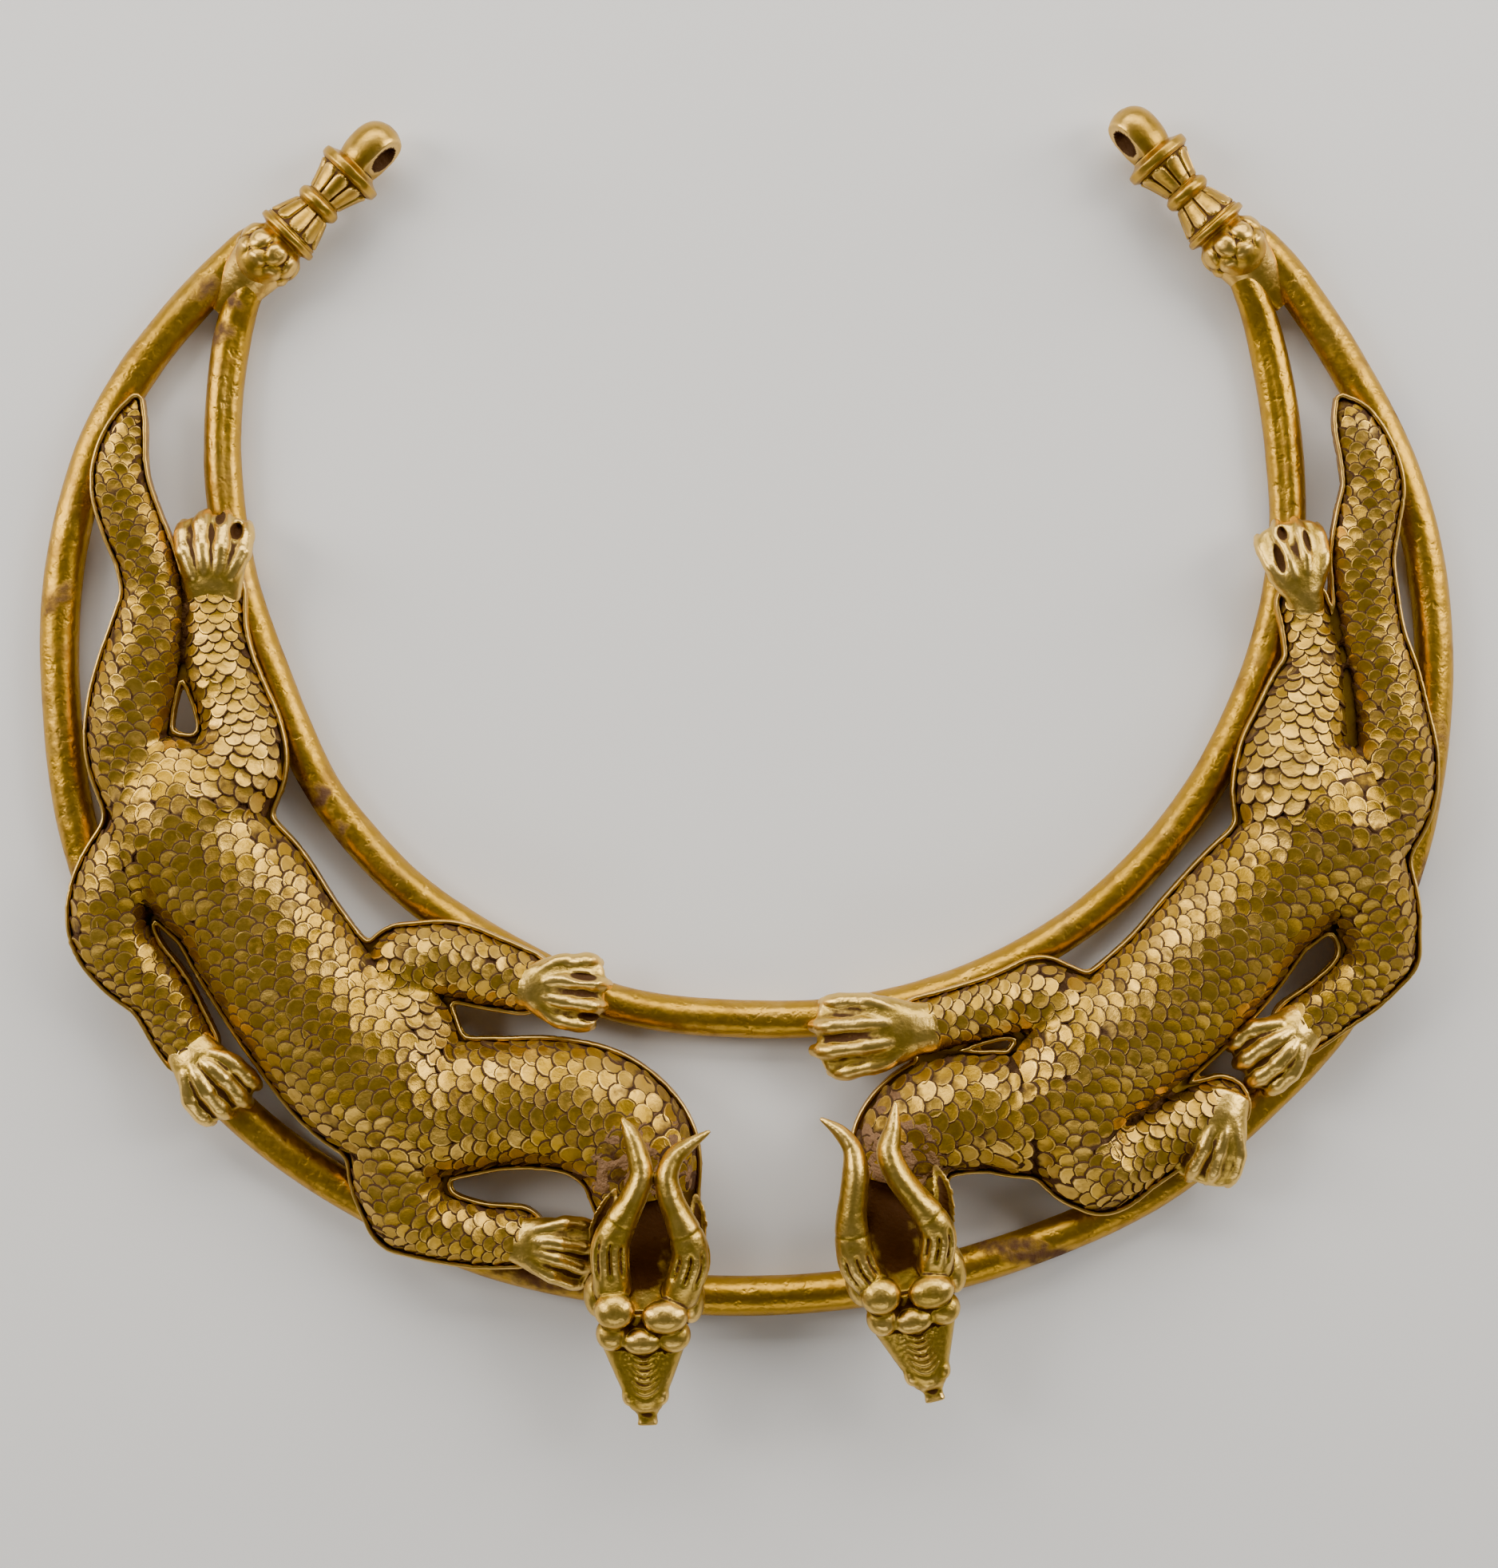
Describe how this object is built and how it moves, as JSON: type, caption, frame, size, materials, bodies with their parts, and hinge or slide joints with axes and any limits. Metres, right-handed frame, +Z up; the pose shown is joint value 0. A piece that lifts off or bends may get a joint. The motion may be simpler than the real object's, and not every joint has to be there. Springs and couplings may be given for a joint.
{
  "type": "gold torc",
  "caption": "Gold torc of outer and inner tubes that meet in fluted ends, with scaled dragons soldered across them, horned heads forward and paws on the tubes.",
  "frame": {"origin": "centre of the bounding box of the torc as it lies, on the surface it lies on", "axes": "+Z up out of the table, +Y towards the fluted open ends, +X across the ring to the right as it is seen from above"},
  "size_m": [0.2018, 0.1868, 0.0216],
  "materials": {
    "tube_gold": "worn satin gold, hand-hammered and lightly scratched",
    "scale_gold": "worn gold with dark earth in the hollows between the scales",
    "cast_gold": "smooth cast gold, slightly greener than the sheet"
  },
  "bodies": {
    "root": {"outer_hoop": "tube_gold", "inner_hoop": "tube_gold", "left_terminal": "tube_gold", "right_terminal": "tube_gold", "left_dragon_body": "scale_gold", "right_dragon_body": "scale_gold", "left_dragon_tray": "scale_gold", "right_dragon_tray": "scale_gold", "left_dragon_head": "cast_gold", "right_dragon_head": "cast_gold", "left_inner_hind_paw": "cast_gold", "left_outer_hind_paw": "cast_gold", "left_inner_fore_paw": "cast_gold", "left_outer_fore_paw": "cast_gold", "right_inner_hind_paw": "cast_gold", "right_outer_hind_paw": "cast_gold", "right_inner_fore_paw": "cast_gold", "right_outer_fore_paw": "cast_gold"}
  },
  "joints": []
}
